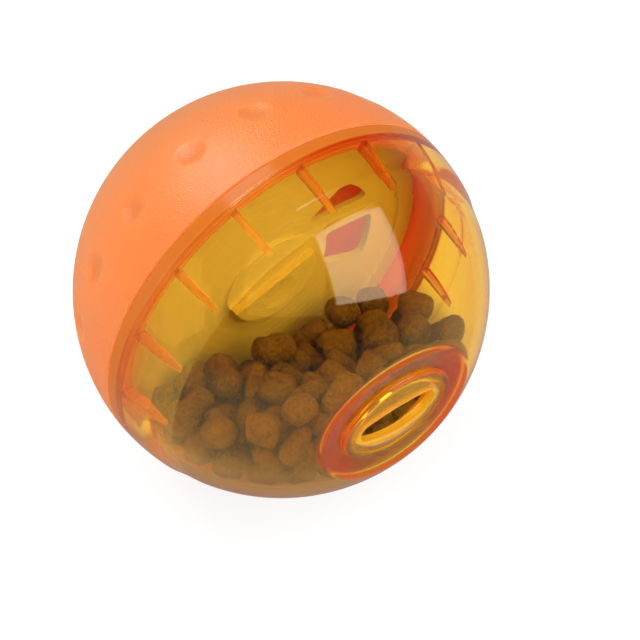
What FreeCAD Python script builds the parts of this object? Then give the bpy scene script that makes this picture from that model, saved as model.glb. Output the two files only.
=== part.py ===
"""Treat ball: a two-part snack dispensing ball for a dog or a cat.

The ball unscrews into a see-through amber half and an opaque orange half. The
amber half has a dished dispensing slot at its pole, sixteen inner fins that
tumble the kibble, and a bore with three thread ridges. The opaque half has a
neck with three matching ridges, and its bore holds a divider disc with two
windows. A half-moon dial on the disc turns a shutter behind it, which closes
the windows to make the ball harder to empty. Dry kibble lies in the amber half.

Every piece is modelled with the ball's axis along Z, the slot at +Z and the
seam at Z = 0. It is then turned so that the slot faces -Y and +Z is up, and
raised so that the belt touches the floor at the origin. Lengths are in
millimetres and angles in degrees.
"""
import FreeCAD, Part
import itertools
import math
import os
import random

from FreeCAD import Rotation, Vector

# Outer form of the two halves
BALL_RADIUS = 51.0            # amber half beyond its belt
BELT_STEP = 0.3               # belt above the ball, and the width over which it ends
BELT_RADIUS = BALL_RADIUS + BELT_STEP    # both halves beside the seam
BELT_WIDTH = 13.2             # along the axis, on the amber half
CROWN_FLATTENING = 0.7        # the opaque crown is this much lower than a sphere
CLEAR_WALL = 2.4              # amber half
OPAQUE_CROWN_WALL = 2.5       # opaque half, at its pole
SEAM_GAP = 0.15               # between the rims of the screwed-up halves
RIM_CHAMFER = 0.35

# Neck of the opaque half and bore of the amber half
NECK_HEIGHT = 3.3             # past the seam, into the amber half
RIM_WALL = 2.55               # amber half, round the neck
THREAD_GAP = 1.25             # between the bore and the neck, for the ridges
NECK_WALL = 1.8
BORE_RADIUS = BALL_RADIUS - RIM_WALL
NECK_OUTER_RADIUS = BORE_RADIUS - THREAD_GAP
NECK_BORE_RADIUS = NECK_OUTER_RADIUS - NECK_WALL

# Thread: three short ridges on each half
THREAD_STARTS = 3
THREAD_LEAD = 6.0             # travel in one full turn
THREAD_SPAN_ANGLE = 110.0     # angle that one ridge covers
THREAD_ROOT = 1.0             # width of a ridge at its foot
THREAD_CREST = 0.55           # width of a ridge at its top
THREAD_HEIGHT = 0.85
THREAD_AXIAL_STEP = 0.9       # neck ridge above the bore ridge that holds it
THREAD_EMBED = 0.5            # how far a ridge's foot reaches into its wall
THREAD_START_HEIGHT = 0.65    # middle of a ridge's low end, from the seam

# Fins inside the amber half
FIN_COUNT = 16
FIN_THICKNESS = 1.3
FIN_TOP_GAP = 0.45            # between the neck's end and the fins
FIN_HEIGHT = 2.35             # inwards from the bore, at the end nearest the seam
FIN_TOP_RADIUS = BORE_RADIUS - FIN_HEIGHT
FIN_LENGTH = 13.8             # along the axis
FIN_END_DEPTH = 0.25          # fin left standing off the wall at its far end
FIN_ANGLE = -2.7              # first fin from the slot's long axis

# Dished pole with the dispensing slot
DISH_HALF_LENGTH = 21.6       # rim on the ball's surface, along X
DISH_HALF_WIDTH = 19.3
DISH_SINK = 1.0               # floor of the dish below the long ends of its rim
LIP_HALF_LENGTH = 15.8        # oval bead round the slot
LIP_HALF_WIDTH = 12.9
LIP_END_RADIUS = 9.5
LIP_BAND = 2.1                # width of the bead
LIP_HEIGHT = 1.9              # top of the bead above the dish's floor
LIP_ROUND = 0.7
GROOVE_WIDTH = 0.5            # between the bead and the mound
GROOVE_DEPTH = 0.6
MOUND_HEIGHT = 3.1            # top of the mound above the dish's floor
MOUND_RISE = 1.5              # height of the mound's rounded cap
MOUND_WALL = 2.4              # between the mound and the hollow under it
SLOT_HALF_LENGTH = 10.7
SLOT_HALF_WIDTH = 4.7
SLOT_END_RADIUS = 3.4
SLOT_ROUND = 0.7

# Dimples round the opaque half
DIMPLE_COUNT = 16
DIMPLE_RADIUS = 4.5
DIMPLE_DEPTH = 1.0
DIMPLE_RING_ANGLE = 20.0      # behind the seam
DIMPLE_ANGLE = -5.4           # first dimple from the slot's long axis

# Divider disc in the neck's bore
DISC_DROP = 5.05              # front face behind the seam
DISC_THICKNESS = 2.0
DISC_CLEARANCE = 0.3          # round the disc, and in front of its rim
DISC_SEAT_WIDTH = 1.4         # shoulder that the disc lies against
DISC_SEAT_GAP = 0.15
DISC_RIM_WIDTH = 5.2
DISC_RIM_HEIGHT = 0.8
NIB_COUNT = 4                 # snap nibs in the bore that keep the disc in
NIB_REACH = 0.75
NIB_HEIGHT = 0.9
NIB_SPAN_ANGLE = 9.0
NIB_ANGLE = 45.0

# Windows in the disc
WINDOW_INNER_RADIUS = 17.5
WINDOW_OUTER_RADIUS = 31.5
WINDOW_START_ANGLE = -24.0
WINDOW_END_ANGLE = 46.0
WINDOW_ROUND = 1.6
BRIDGE_WIDTH = 6.4            # bar that parts the two windows
BRIDGE_ANGLE = -7.0
BRIDGE_OFFSET = 9.3           # height of the bar's middle line above the centre

# Dial and shutter
DIAL_RADIUS = 12.4
DIAL_BASE = 0.8
DIAL_GRIP_HEIGHT = 1.8        # half-moon grip above the base
DIAL_GRIP_ROUND = 0.4
DIAL_GRIP_DISH = 0.7          # hollow for the fingertip
DIAL_DISH_RADIUS_SHARE = 1.5  # of the dial's radius, for the ball that cuts the hollow
DIAL_DISH_PLACE_SHARE = 0.42  # of the dial's radius, from the axis to the hollow's middle
DIAL_ANGLE = 17.0             # straight side of the half moon
DIAL_GAP = 0.12               # dial and shutter from the disc
STEM_RADIUS = 3.9
STEM_CLEARANCE = 0.06
DRIVE_HALF_WIDTH = 2.3        # square peg in the shutter's hole
DRIVE_CLEARANCE = 0.05
SNAP_HEIGHT = 1.2             # barbed end of the peg
SNAP_REACH = 0.45
SNAP_TIP_SHARE = 0.8          # width of the barb's tip, of the peg's
SNAP_SLIT = 1.0
SHUTTER_THICKNESS = 1.4
SHUTTER_HUB_RADIUS = 8.0
SHUTTER_MARGIN = 1.5          # shutter past the windows, all round
SHUTTER_PARK_ANGLE = 3.0      # angle between the open shutter and the windows

# Kibble in the amber half
KIBBLE_SEED = 42
KIBBLE_SPACING = 8.8          # of the pieces before they fall
KIBBLE_LAYER_SHARE = 0.82     # height of a layer, in spacings
KIBBLE_WALL_SHARE = 0.75      # first middles from the wall, in spacings
KIBBLE_LEVEL = -8.0           # the fill before it falls, above the ball's centre
KIBBLE_UP = Vector(0.202, 0.836, -0.510)    # upright, as the filled ball lies
KIBBLE_GAP = 0.3              # from what holds the pieces
KIBBLE_PLAY = 0.22            # between two pieces that lie on each other
KIBBLE_SLOT_GAP = 2.6         # from the wall at the slot, so that the slot stays free
KIBBLE_STICK_SHARE = 0.5      # long pieces among all
STICK_RADIUS = (2.9, 3.6)
STICK_LENGTH = (3.8, 6.0)     # between the middles of the two rounded ends
LUMP_RADIUS = (3.7, 4.6)
LUMP_LENGTH = (1.0, 2.4)
KIBBLE_SIDES = 8
KIBBLE_FLATNESS = (0.92, 1.0)
KIBBLE_PROFILE = ((0.28, 0.95), (0.78, 0.6))    # past a ball's middle, and half width, in radii
FALL_STEP = 0.25
FALL_ROUNDS = 170
REST_ROUNDS = 270             # in which overlaps are cleared and nothing falls
NEIGHBOUR_ROUNDS = 10         # rounds between two looks for neighbours
NEIGHBOUR_REACH = 10.5        # between the middles of two balls that may meet

OVERSHOOT = 5.0               # how far a cutting tool reaches past what it cuts
CROWN_REACH_SHARE = 1.5       # of a crowned face's half length, to its ends
TINY = 0.02                   # slack for finding an edge by its place

# Heights and radii that follow
CLEAR_INNER_RADIUS = BALL_RADIUS - CLEAR_WALL
DISH_FLOOR = math.sqrt(BALL_RADIUS ** 2 - DISH_HALF_LENGTH ** 2) - DISH_SINK
LIP_TOP = DISH_FLOOR + LIP_HEIGHT
MOUND_TOP = DISH_FLOOR + MOUND_HEIGHT
FIN_TOP = NECK_HEIGHT + FIN_TOP_GAP
FIN_END = FIN_TOP + FIN_LENGTH
FIN_END_RADIUS = math.sqrt(CLEAR_INNER_RADIUS ** 2 - FIN_END ** 2) - FIN_END_DEPTH
OPAQUE_RADIUS = BELT_RADIUS + CROWN_FLATTENING ** 2 / (2 * BELT_RADIUS)
DISC_FRONT = -DISC_DROP
DISC_BACK = DISC_FRONT - DISC_THICKNESS
DISC_RADIUS = NECK_BORE_RADIUS - DISC_CLEARANCE
SEAT_HEIGHT = DISC_BACK - DISC_SEAT_GAP
CAVITY_RADIUS = NECK_BORE_RADIUS - DISC_SEAT_WIDTH
NIB_BOTTOM = DISC_FRONT + DISC_RIM_HEIGHT + DISC_CLEARANCE
DIAL_BACK = DISC_FRONT + DIAL_GAP
DIAL_TOP = DIAL_BACK + DIAL_BASE
SHUTTER_FRONT = DISC_BACK - DIAL_GAP
SHUTTER_BACK = SHUTTER_FRONT - SHUTTER_THICKNESS


def at_radius(radius, angle, height=0.0):
    """Point on a circle round the axis."""
    turn = math.radians(angle)
    return Vector(radius * math.cos(turn), radius * math.sin(turn), height)


def circle_height(radius, across, centre=0.0):
    """Height at which a circle of this radius is that far from the axis."""
    return centre + math.sqrt(radius ** 2 - across ** 2)


def revolved(edges):
    """Solid of revolution round the axis from a closed profile in the XZ plane."""
    face = Part.Face(Part.Wire(edges))
    return face.revolve(Vector(0, 0, 0), Vector(0, 0, 1), 360)


def line(start, end):
    """Straight edge between two points."""
    return Part.LineSegment(start, end).toShape()


def arc(start, middle, end):
    """Circular edge through three points."""
    return Part.Arc(start, middle, end).toShape()


def sphere_arc(radius, low, high, centre=0.0):
    """Profile arc on a sphere between two heights, the low one first."""
    middle = (low + high) / 2
    points = [Vector(math.sqrt(max(radius ** 2 - (z - centre) ** 2, 0.0)), 0, z)
              for z in (low, middle, high)]
    return arc(*points)


def cylinder(radius, low, high):
    """Round bar on the axis between two heights."""
    return Part.makeCylinder(radius, high - low, Vector(0, 0, low))


def oval_bar(half_length, half_width, end_radius, low, high):
    """Upright bar with an oval outline of two long arcs and two end arcs."""
    reach = half_length - end_radius
    rise = half_width - end_radius
    side_radius = (reach ** 2 + half_width ** 2 - end_radius ** 2) / (2 * rise)
    side_centre = side_radius - half_width
    lean = math.atan2(reach, side_centre)
    corner_x = side_radius * math.sin(lean)
    corner_y = side_radius * math.cos(lean) - side_centre
    corners = [Vector(sx * corner_x, sy * corner_y, low)
               for sx, sy in ((1, 1), (-1, 1), (-1, -1), (1, -1))]
    outline = Part.Wire([
        arc(corners[0], Vector(0, half_width, low), corners[1]),
        arc(corners[1], Vector(-half_length, 0, low), corners[2]),
        arc(corners[2], Vector(0, -half_width, low), corners[3]),
        arc(corners[3], Vector(half_length, 0, low), corners[0]),
    ])
    return Part.Face(outline).extrude(Vector(0, 0, high - low))


def crowned_block(half_length, half_width, rise, crown, hollow_up=False, grow=0.0):
    """Block with one face curved both ways, its highest point at the crown.

    The face falls by the same rise at the half length along X and at the half
    width along Y. It is turned about an axis along X, so that its section is an
    arc in both directions. With hollow_up it is mirrored, lowest at the crown,
    and grow moves the face outwards by that much.
    """
    length_radius = (half_length ** 2 + rise ** 2) / (2 * rise) + grow
    width_radius = (half_width ** 2 + rise ** 2) / (2 * rise) + grow
    side = -1 if hollow_up else 1
    top = crown + side * grow
    reach = half_length * CROWN_REACH_SHARE
    fall = length_radius - math.sqrt(length_radius ** 2 - reach ** 2)
    axis_height = top - side * width_radius
    left = Vector(-reach, 0, top - side * fall)
    right = Vector(reach, 0, top - side * fall)
    face = Part.Face(Part.Wire([
        arc(left, Vector(0, 0, top), right),
        line(right, Vector(reach, 0, axis_height)),
        line(Vector(reach, 0, axis_height), Vector(-reach, 0, axis_height)),
        line(Vector(-reach, 0, axis_height), left),
    ]))
    return face.revolve(Vector(0, 0, axis_height), Vector(1, 0, 0), 360)


def sector(inner, outer, start, end, low, high):
    """Block between two radii and two angles."""
    middle = (start + end) / 2
    outline = Part.Wire([
        arc(at_radius(outer, start, low), at_radius(outer, middle, low),
            at_radius(outer, end, low)),
        line(at_radius(outer, end, low), at_radius(inner, end, low)),
        arc(at_radius(inner, end, low), at_radius(inner, middle, low),
            at_radius(inner, start, low)),
        line(at_radius(inner, start, low), at_radius(outer, start, low)),
    ])
    return Part.Face(outline).extrude(Vector(0, 0, high - low))


def turned(shape, angle):
    """Copy of a shape turned round the axis."""
    copy = shape.copy()
    copy.rotate(Vector(0, 0, 0), Vector(0, 0, 1), angle)
    return copy


def repeated(shape, count, first=0.0):
    """Copies of a shape spaced evenly round the axis."""
    return [turned(shape, first + index * 360.0 / count) for index in range(count)]


def thread_ridge(foot_radius, outward, start_height):
    """One helical ridge with a tapered section, standing in or out of a wall.

    The ridge climbs at the thread's lead from its start height over the
    ridge's span. Its flanks run straight through the wall's surface, so that
    its foot is sunk into the wall that carries it.
    """
    side = 1 if outward else -1
    sunk = foot_radius - side * THREAD_EMBED
    crest = foot_radius + side * THREAD_HEIGHT
    taper = (THREAD_ROOT - THREAD_CREST) / THREAD_HEIGHT
    sunk_half = (THREAD_ROOT + taper * THREAD_EMBED) / 2
    crest_half = THREAD_CREST / 2
    climb = THREAD_LEAD * THREAD_SPAN_ANGLE / 360.0
    helix = Part.makeHelix(THREAD_LEAD, climb, foot_radius)
    profile = Part.makePolygon([
        Vector(sunk, 0, -sunk_half), Vector(crest, 0, -crest_half),
        Vector(crest, 0, crest_half), Vector(sunk, 0, sunk_half),
        Vector(sunk, 0, -sunk_half),
    ])
    ridge = Part.Wire(helix).makePipeShell([profile], True, True)
    ridge.translate(Vector(0, 0, start_height))
    return ridge


def fin():
    """One inner fin: a thin plate with a straight free edge, its back in the wall."""
    wall_middle = BALL_RADIUS - CLEAR_WALL / 2
    start = Vector(FIN_TOP_RADIUS, 0, FIN_TOP)
    end = Vector(FIN_END_RADIUS, 0, FIN_END)
    back = sphere_arc(wall_middle, FIN_TOP, FIN_END)
    face = Part.Face(Part.Wire([
        line(start, back.Vertexes[0].Point),
        back,
        line(back.Vertexes[1].Point, end),
        line(end, start),
    ]))
    plate = face.extrude(Vector(0, FIN_THICKNESS, 0))
    plate.translate(Vector(0, -FIN_THICKNESS / 2, 0))
    return plate


def clear_bowl():
    """Amber bowl: a belt beside the seam, a spherical wall and a plain round bore."""
    bore_end = circle_height(CLEAR_INNER_RADIUS, BORE_RADIUS)
    belt_edge = math.sqrt(BELT_RADIUS ** 2 - BELT_WIDTH ** 2)
    step_end = BELT_WIDTH + BELT_STEP
    ball_edge = math.sqrt(BALL_RADIUS ** 2 - step_end ** 2)
    rim = math.sqrt(BELT_RADIUS ** 2 - RIM_CHAMFER ** 2)
    bowl = revolved([
        line(Vector(BORE_RADIUS + RIM_CHAMFER, 0, 0), Vector(rim - RIM_CHAMFER, 0, 0)),
        line(Vector(rim - RIM_CHAMFER, 0, 0), Vector(rim, 0, RIM_CHAMFER)),
        sphere_arc(BELT_RADIUS, RIM_CHAMFER, BELT_WIDTH),
        line(Vector(belt_edge, 0, BELT_WIDTH), Vector(ball_edge, 0, step_end)),
        sphere_arc(BALL_RADIUS, step_end, BALL_RADIUS),
        line(Vector(0, 0, BALL_RADIUS), Vector(0, 0, CLEAR_INNER_RADIUS)),
        sphere_arc(CLEAR_INNER_RADIUS, bore_end, CLEAR_INNER_RADIUS),
        line(Vector(BORE_RADIUS, 0, bore_end), Vector(BORE_RADIUS, 0, RIM_CHAMFER)),
        line(Vector(BORE_RADIUS, 0, RIM_CHAMFER), Vector(BORE_RADIUS + RIM_CHAMFER, 0, 0)),
    ])
    return bowl


def dish_block(grow=0.0):
    """Block whose hollow-side face sinks the dish, grown by a wall on demand.

    The face passes through the ball's surface at the dish's half length and
    half width, and is lowest on the axis.
    """
    length_rise = DISH_SINK
    width_rise = circle_height(BALL_RADIUS, DISH_HALF_WIDTH) - DISH_FLOOR
    length_radius = (DISH_HALF_LENGTH ** 2 + length_rise ** 2) / (2 * length_rise)
    half_length = math.sqrt(2 * length_radius * width_rise - width_rise ** 2)
    return crowned_block(half_length, DISH_HALF_WIDTH, width_rise, DISH_FLOOR, True, grow)


def pole_with_slot(bowl):
    """Sink the dish into the pole and raise the bead and the mound round the slot."""
    near_pole = Part.makeBox(BALL_RADIUS * 2, BALL_RADIUS * 2, BALL_RADIUS,
                             Vector(-BALL_RADIUS, -BALL_RADIUS, CLEAR_INNER_RADIUS / 2))
    backing = dish_block(CLEAR_WALL).common(Part.makeSphere(BALL_RADIUS - CLEAR_WALL / 2))
    backing = backing.common(near_pole)

    bead = oval_bar(LIP_HALF_LENGTH, LIP_HALF_WIDTH, LIP_END_RADIUS,
                    DISH_FLOOR - CLEAR_WALL / 2, LIP_TOP)
    top_edges = [edge for edge in bead.Edges if edge.BoundBox.ZMin > LIP_TOP - TINY]
    bead = bead.makeFillet(LIP_ROUND, top_edges)
    inner = [LIP_HALF_LENGTH - LIP_BAND, LIP_HALF_WIDTH - LIP_BAND, LIP_END_RADIUS - LIP_BAND]
    bead = bead.cut(oval_bar(*inner, LIP_TOP - GROOVE_DEPTH, LIP_TOP + OVERSHOOT))

    outline = [size - GROOVE_WIDTH for size in inner]
    cap = crowned_block(outline[0], outline[1], MOUND_RISE, MOUND_TOP)
    mound = cap.common(oval_bar(*outline, DISH_FLOOR, BALL_RADIUS))
    hollow_cap = crowned_block(outline[0], outline[1], MOUND_RISE, MOUND_TOP,
                               False, -MOUND_WALL)
    hollow_outline = [size - MOUND_WALL / 2 for size in outline]
    below = DISH_FLOOR - CLEAR_WALL - OVERSHOOT
    hollow = hollow_cap.common(oval_bar(*hollow_outline, below, BALL_RADIUS))

    body = bowl.fuse(backing).cut(dish_block()).fuse([bead, mound]).cut(hollow)
    slot = oval_bar(SLOT_HALF_LENGTH, SLOT_HALF_WIDTH, SLOT_END_RADIUS,
                    below, BALL_RADIUS + OVERSHOOT)
    return body.cut(slot)


def slot_edges(body):
    """Edges round the slot's outer mouth, found by their place."""
    found = []
    for edge in body.Edges:
        box = edge.BoundBox
        near_axis = max(abs(box.XMin), abs(box.XMax)) < SLOT_HALF_LENGTH + TINY
        narrow = max(abs(box.YMin), abs(box.YMax)) < SLOT_HALF_WIDTH + TINY
        outside = box.ZMin > MOUND_TOP - MOUND_RISE
        if near_axis and narrow and outside:
            found.append(edge)
    return found


def make_clear_half():
    """See-through half with its fins, thread ridges and dispensing slot."""
    body = pole_with_slot(clear_bowl())
    body = body.makeFillet(SLOT_ROUND, slot_edges(body))
    fins = repeated(fin(), FIN_COUNT, FIN_ANGLE)
    ridge = thread_ridge(BORE_RADIUS, False, THREAD_START_HEIGHT)
    ridges = repeated(ridge, THREAD_STARTS)
    return body.fuse(fins + ridges).removeSplitter()


def opaque_bowl():
    """Orange bowl with a round cavity, a shoulder for the disc and the neck."""
    rim = math.sqrt(OPAQUE_RADIUS ** 2 - (SEAM_GAP + RIM_CHAMFER + CROWN_FLATTENING) ** 2)
    low = -SEAM_GAP
    crown = CROWN_FLATTENING - OPAQUE_RADIUS
    cavity_low = crown + OPAQUE_CROWN_WALL
    depth = SEAT_HEIGHT - cavity_low
    cavity_sphere = (CAVITY_RADIUS ** 2 + depth ** 2) / (2 * depth)
    outer = sphere_arc(OPAQUE_RADIUS, crown, low - RIM_CHAMFER, CROWN_FLATTENING)
    cavity = sphere_arc(cavity_sphere, cavity_low, SEAT_HEIGHT, cavity_low + cavity_sphere)
    profile = [
        line(Vector(0, 0, cavity_low), Vector(0, 0, crown)),
        outer,
        line(outer.Vertexes[1].Point, Vector(rim - RIM_CHAMFER, 0, low)),
        line(Vector(rim - RIM_CHAMFER, 0, low), Vector(NECK_OUTER_RADIUS, 0, low)),
        line(Vector(NECK_OUTER_RADIUS, 0, low),
             Vector(NECK_OUTER_RADIUS, 0, NECK_HEIGHT - RIM_CHAMFER)),
        line(Vector(NECK_OUTER_RADIUS, 0, NECK_HEIGHT - RIM_CHAMFER),
             Vector(NECK_OUTER_RADIUS - RIM_CHAMFER, 0, NECK_HEIGHT)),
        line(Vector(NECK_OUTER_RADIUS - RIM_CHAMFER, 0, NECK_HEIGHT),
             Vector(NECK_BORE_RADIUS + RIM_CHAMFER, 0, NECK_HEIGHT)),
        line(Vector(NECK_BORE_RADIUS + RIM_CHAMFER, 0, NECK_HEIGHT),
             Vector(NECK_BORE_RADIUS, 0, NECK_HEIGHT - RIM_CHAMFER)),
        line(Vector(NECK_BORE_RADIUS, 0, NECK_HEIGHT - RIM_CHAMFER),
             Vector(NECK_BORE_RADIUS, 0, SEAT_HEIGHT)),
        line(Vector(NECK_BORE_RADIUS, 0, SEAT_HEIGHT), Vector(CAVITY_RADIUS, 0, SEAT_HEIGHT)),
        cavity,
    ]
    body = revolved(profile)
    return body


def dimple():
    """Ball that cuts one shallow dimple, placed at the angle of the first."""
    ball_radius = (DIMPLE_RADIUS ** 2 + DIMPLE_DEPTH ** 2) / (2 * DIMPLE_DEPTH)
    reach = OPAQUE_RADIUS - DIMPLE_DEPTH + ball_radius
    lean = math.radians(DIMPLE_RING_ANGLE)
    centre = Vector(reach * math.cos(lean), 0, CROWN_FLATTENING - reach * math.sin(lean))
    return Part.makeSphere(ball_radius, centre)


def make_opaque_half():
    """Orange half with the dimples, the threaded neck and the nibs for the disc."""
    body = opaque_bowl()
    ridge = thread_ridge(NECK_OUTER_RADIUS, True, THREAD_START_HEIGHT)
    lift = THREAD_AXIAL_STEP * 360.0 / THREAD_LEAD
    ridges = repeated(ridge, THREAD_STARTS, -lift)
    nib = sector(NECK_BORE_RADIUS - NIB_REACH, NECK_BORE_RADIUS + RIM_CHAMFER,
                 -NIB_SPAN_ANGLE / 2, NIB_SPAN_ANGLE / 2, NIB_BOTTOM, NIB_BOTTOM + NIB_HEIGHT)
    nibs = repeated(nib, NIB_COUNT, NIB_ANGLE)
    body = body.fuse(ridges + nibs)
    return body.cut(repeated(dimple(), DIMPLE_COUNT, DIMPLE_ANGLE)).removeSplitter()


def window_tools(low, high):
    """Cutting blocks for the two windows, with rounded corners."""
    opening = sector(WINDOW_INNER_RADIUS, WINDOW_OUTER_RADIUS,
                     WINDOW_START_ANGLE, WINDOW_END_ANGLE, low, high)
    bridge = Part.makeBox(WINDOW_OUTER_RADIUS * 2, BRIDGE_WIDTH, high - low + 2 * OVERSHOOT,
                          Vector(0, -BRIDGE_WIDTH / 2, low - OVERSHOOT))
    bridge.rotate(Vector(0, 0, 0), Vector(0, 0, 1), BRIDGE_ANGLE)
    bridge.translate(Vector(0, BRIDGE_OFFSET, 0))
    tools = []
    for piece in opening.cut(bridge).Solids:
        floor = min(piece.Faces, key=lambda face: face.CenterOfMass.z)
        outline = floor.makeOffset2D(-WINDOW_ROUND).makeOffset2D(WINDOW_ROUND)
        tools.append(Part.Face(outline.Wires[0]).extrude(Vector(0, 0, high - low)))
    return tools


def make_divider_disc():
    """Yellow disc with a raised rim, two windows and a bearing hole for the dial."""
    rim_top = DISC_FRONT + DISC_RIM_HEIGHT
    inner = DISC_RADIUS - DISC_RIM_WIDTH
    disc = cylinder(DISC_RADIUS, DISC_BACK, rim_top)
    disc = disc.makeChamfer(RIM_CHAMFER, disc.Edges)
    disc = disc.cut(cylinder(inner, DISC_FRONT, rim_top + OVERSHOOT))
    hole = cylinder(STEM_RADIUS + STEM_CLEARANCE, DISC_BACK - OVERSHOOT, rim_top)
    windows = window_tools(DISC_BACK - OVERSHOOT, rim_top + OVERSHOOT)
    return disc.cut([hole] + windows).removeSplitter()


def make_dial():
    """Dial with a half-moon grip, a round stem and a square peg with a snap end."""
    base = cylinder(DIAL_RADIUS, DIAL_BACK, DIAL_TOP)
    grip_top = DIAL_TOP + DIAL_GRIP_HEIGHT
    grip = cylinder(DIAL_RADIUS, DIAL_BACK, grip_top)
    half = Part.makeBox(DIAL_RADIUS * 4, DIAL_RADIUS * 2, OVERSHOOT * 4,
                        Vector(-DIAL_RADIUS * 2, 0, DIAL_BACK - OVERSHOOT))
    grip = grip.cut(half)
    grip_edges = [edge for edge in grip.Edges if edge.BoundBox.ZMin > grip_top - TINY]
    grip = grip.makeFillet(DIAL_GRIP_ROUND, grip_edges)
    scoop_radius = DIAL_RADIUS * DIAL_DISH_RADIUS_SHARE
    scoop = Part.makeSphere(scoop_radius, Vector(0, -DIAL_RADIUS * DIAL_DISH_PLACE_SHARE,
                                                 grip_top + scoop_radius - DIAL_GRIP_DISH))
    grip = grip.cut(scoop)
    grip.rotate(Vector(0, 0, 0), Vector(0, 0, 1), DIAL_ANGLE)
    stem = cylinder(STEM_RADIUS, DISC_BACK, DIAL_TOP)
    peg_end = SHUTTER_BACK - DIAL_GAP
    width = DRIVE_HALF_WIDTH * 2
    peg = Part.makeBox(width, width, DISC_BACK - peg_end,
                       Vector(-DRIVE_HALF_WIDTH, -DRIVE_HALF_WIDTH, peg_end))
    barb_half = DRIVE_HALF_WIDTH + SNAP_REACH
    foot = Part.makePolygon([Vector(sx * barb_half, sy * DRIVE_HALF_WIDTH, peg_end)
                             for sx, sy in ((1, 1), (-1, 1), (-1, -1), (1, -1), (1, 1))])
    tip = Part.makePolygon([Vector(sx * DRIVE_HALF_WIDTH * SNAP_TIP_SHARE, sy * DRIVE_HALF_WIDTH,
                                   peg_end - SNAP_HEIGHT)
                            for sx, sy in ((1, 1), (-1, 1), (-1, -1), (1, -1), (1, 1))])
    barb = Part.makeLoft([foot, tip], True, True)
    slit = Part.makeBox(SNAP_SLIT, width * 2, DISC_BACK - peg_end + SNAP_HEIGHT,
                        Vector(-SNAP_SLIT / 2, -width, peg_end - SNAP_HEIGHT))
    return base.fuse([grip, stem, peg, barb]).cut(slit).removeSplitter()


def make_shutter():
    """Sector plate behind the disc, parked clear of the windows, on the dial's peg."""
    span = WINDOW_END_ANGLE - WINDOW_START_ANGLE
    margin = math.degrees(SHUTTER_MARGIN / WINDOW_INNER_RADIUS)
    start = WINDOW_END_ANGLE + SHUTTER_PARK_ANGLE
    plate = sector(SHUTTER_HUB_RADIUS / 2, WINDOW_OUTER_RADIUS + SHUTTER_MARGIN,
                   start, start + span + 2 * margin, SHUTTER_BACK, SHUTTER_FRONT)
    hub = cylinder(SHUTTER_HUB_RADIUS, SHUTTER_BACK, SHUTTER_FRONT)
    half = DRIVE_HALF_WIDTH + DRIVE_CLEARANCE
    hole = Part.makeBox(half * 2, half * 2, SHUTTER_THICKNESS + 2 * OVERSHOOT,
                        Vector(-half, -half, SHUTTER_BACK - OVERSHOOT))
    return plate.fuse(hub).cut(hole).removeSplitter()


def loose_kibble():
    """Kibble on a shifted grid in the amber half, before it falls.

    A piece is two balls of one radius whose middles keep their distance. The
    result is the balls' middles, two for each piece, with the radius and the
    distance of each piece.
    """
    dice = random.Random(KIBBLE_SEED)
    up = Vector(KIBBLE_UP).normalize()
    reach = math.ceil(BALL_RADIUS / KIBBLE_SPACING)
    grid = range(-reach, reach + 1)
    middles, radii, lengths = [], [], []
    for across, aside, layer in itertools.product(grid, grid, grid):
        shift = (layer % 2) / 2
        place = Vector(across + shift, aside + shift, layer * KIBBLE_LAYER_SHARE) * KIBBLE_SPACING
        inside = place.Length < CLEAR_INNER_RADIUS - KIBBLE_SPACING * KIBBLE_WALL_SHARE
        if not inside or place.z < 0 or place.dot(up) > KIBBLE_LEVEL:
            continue
        is_stick = dice.random() < KIBBLE_STICK_SHARE
        radii.append(dice.uniform(*(STICK_RADIUS if is_stick else LUMP_RADIUS)))
        lengths.append(dice.uniform(*(STICK_LENGTH if is_stick else LUMP_LENGTH)))
        lean = math.degrees(math.asin(dice.uniform(-1, 1)))
        way = at_radius(math.cos(math.radians(lean)), dice.uniform(0, 360),
                        math.sin(math.radians(lean)))
        half = way * (lengths[-1] / 2)
        middles += [place - half, place + half]
    return middles, radii, lengths


def held_inside(middle, radius):
    """Middle of a ball moved back between the wall, the fins, the dial and the slot."""
    wall = CLEAR_INNER_RADIUS - KIBBLE_GAP - radius
    if middle.Length > wall:
        middle = middle * (wall / middle.Length)
    fins = FIN_END_RADIUS - KIBBLE_GAP - radius
    across = math.hypot(middle.x, middle.y)
    if across > fins:
        middle = Vector(middle.x * fins / across, middle.y * fins / across, middle.z)
    low = DIAL_TOP + DIAL_GRIP_HEIGHT + KIBBLE_GAP + radius
    high = DISH_FLOOR - CLEAR_WALL - KIBBLE_SLOT_GAP - radius
    if across > DISH_HALF_LENGTH:
        high = BALL_RADIUS
    return Vector(middle.x, middle.y, max(low, min(middle.z, high)))


def settled_kibble():
    """Kibble after it has sunk and its pieces have pushed each other apart.

    In each round every ball sinks a step, balls of different pieces that
    overlap move apart by half the overlap each, the two balls of a piece go
    back to their distance, and all are held inside the amber half.
    """
    middles, radii, lengths = loose_kibble()
    up = Vector(KIBBLE_UP).normalize()
    near = []
    for turn in range(FALL_ROUNDS + REST_ROUNDS):
        if turn % NEIGHBOUR_ROUNDS == 0:
            near = [(a, b) for a, b in itertools.combinations(range(len(middles)), 2)
                    if a // 2 != b // 2
                    and middles[a].distanceToPoint(middles[b]) < NEIGHBOUR_REACH]
        if turn < FALL_ROUNDS:
            middles = [middle - up * FALL_STEP for middle in middles]
        for a, b in near:
            gap = middles[a] - middles[b]
            overlap = radii[a // 2] + radii[b // 2] + KIBBLE_PLAY - gap.Length
            if overlap > 0:
                push = gap * (overlap / gap.Length / 2)
                middles[a] += push
                middles[b] -= push
        for piece, length in enumerate(lengths):
            first, second = middles[2 * piece], middles[2 * piece + 1]
            axis = second - first
            fix = axis * ((1 - length / axis.Length) / 2)
            middles[2 * piece] = held_inside(first + fix, radii[piece])
            middles[2 * piece + 1] = held_inside(second - fix, radii[piece])
    return middles, radii


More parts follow.
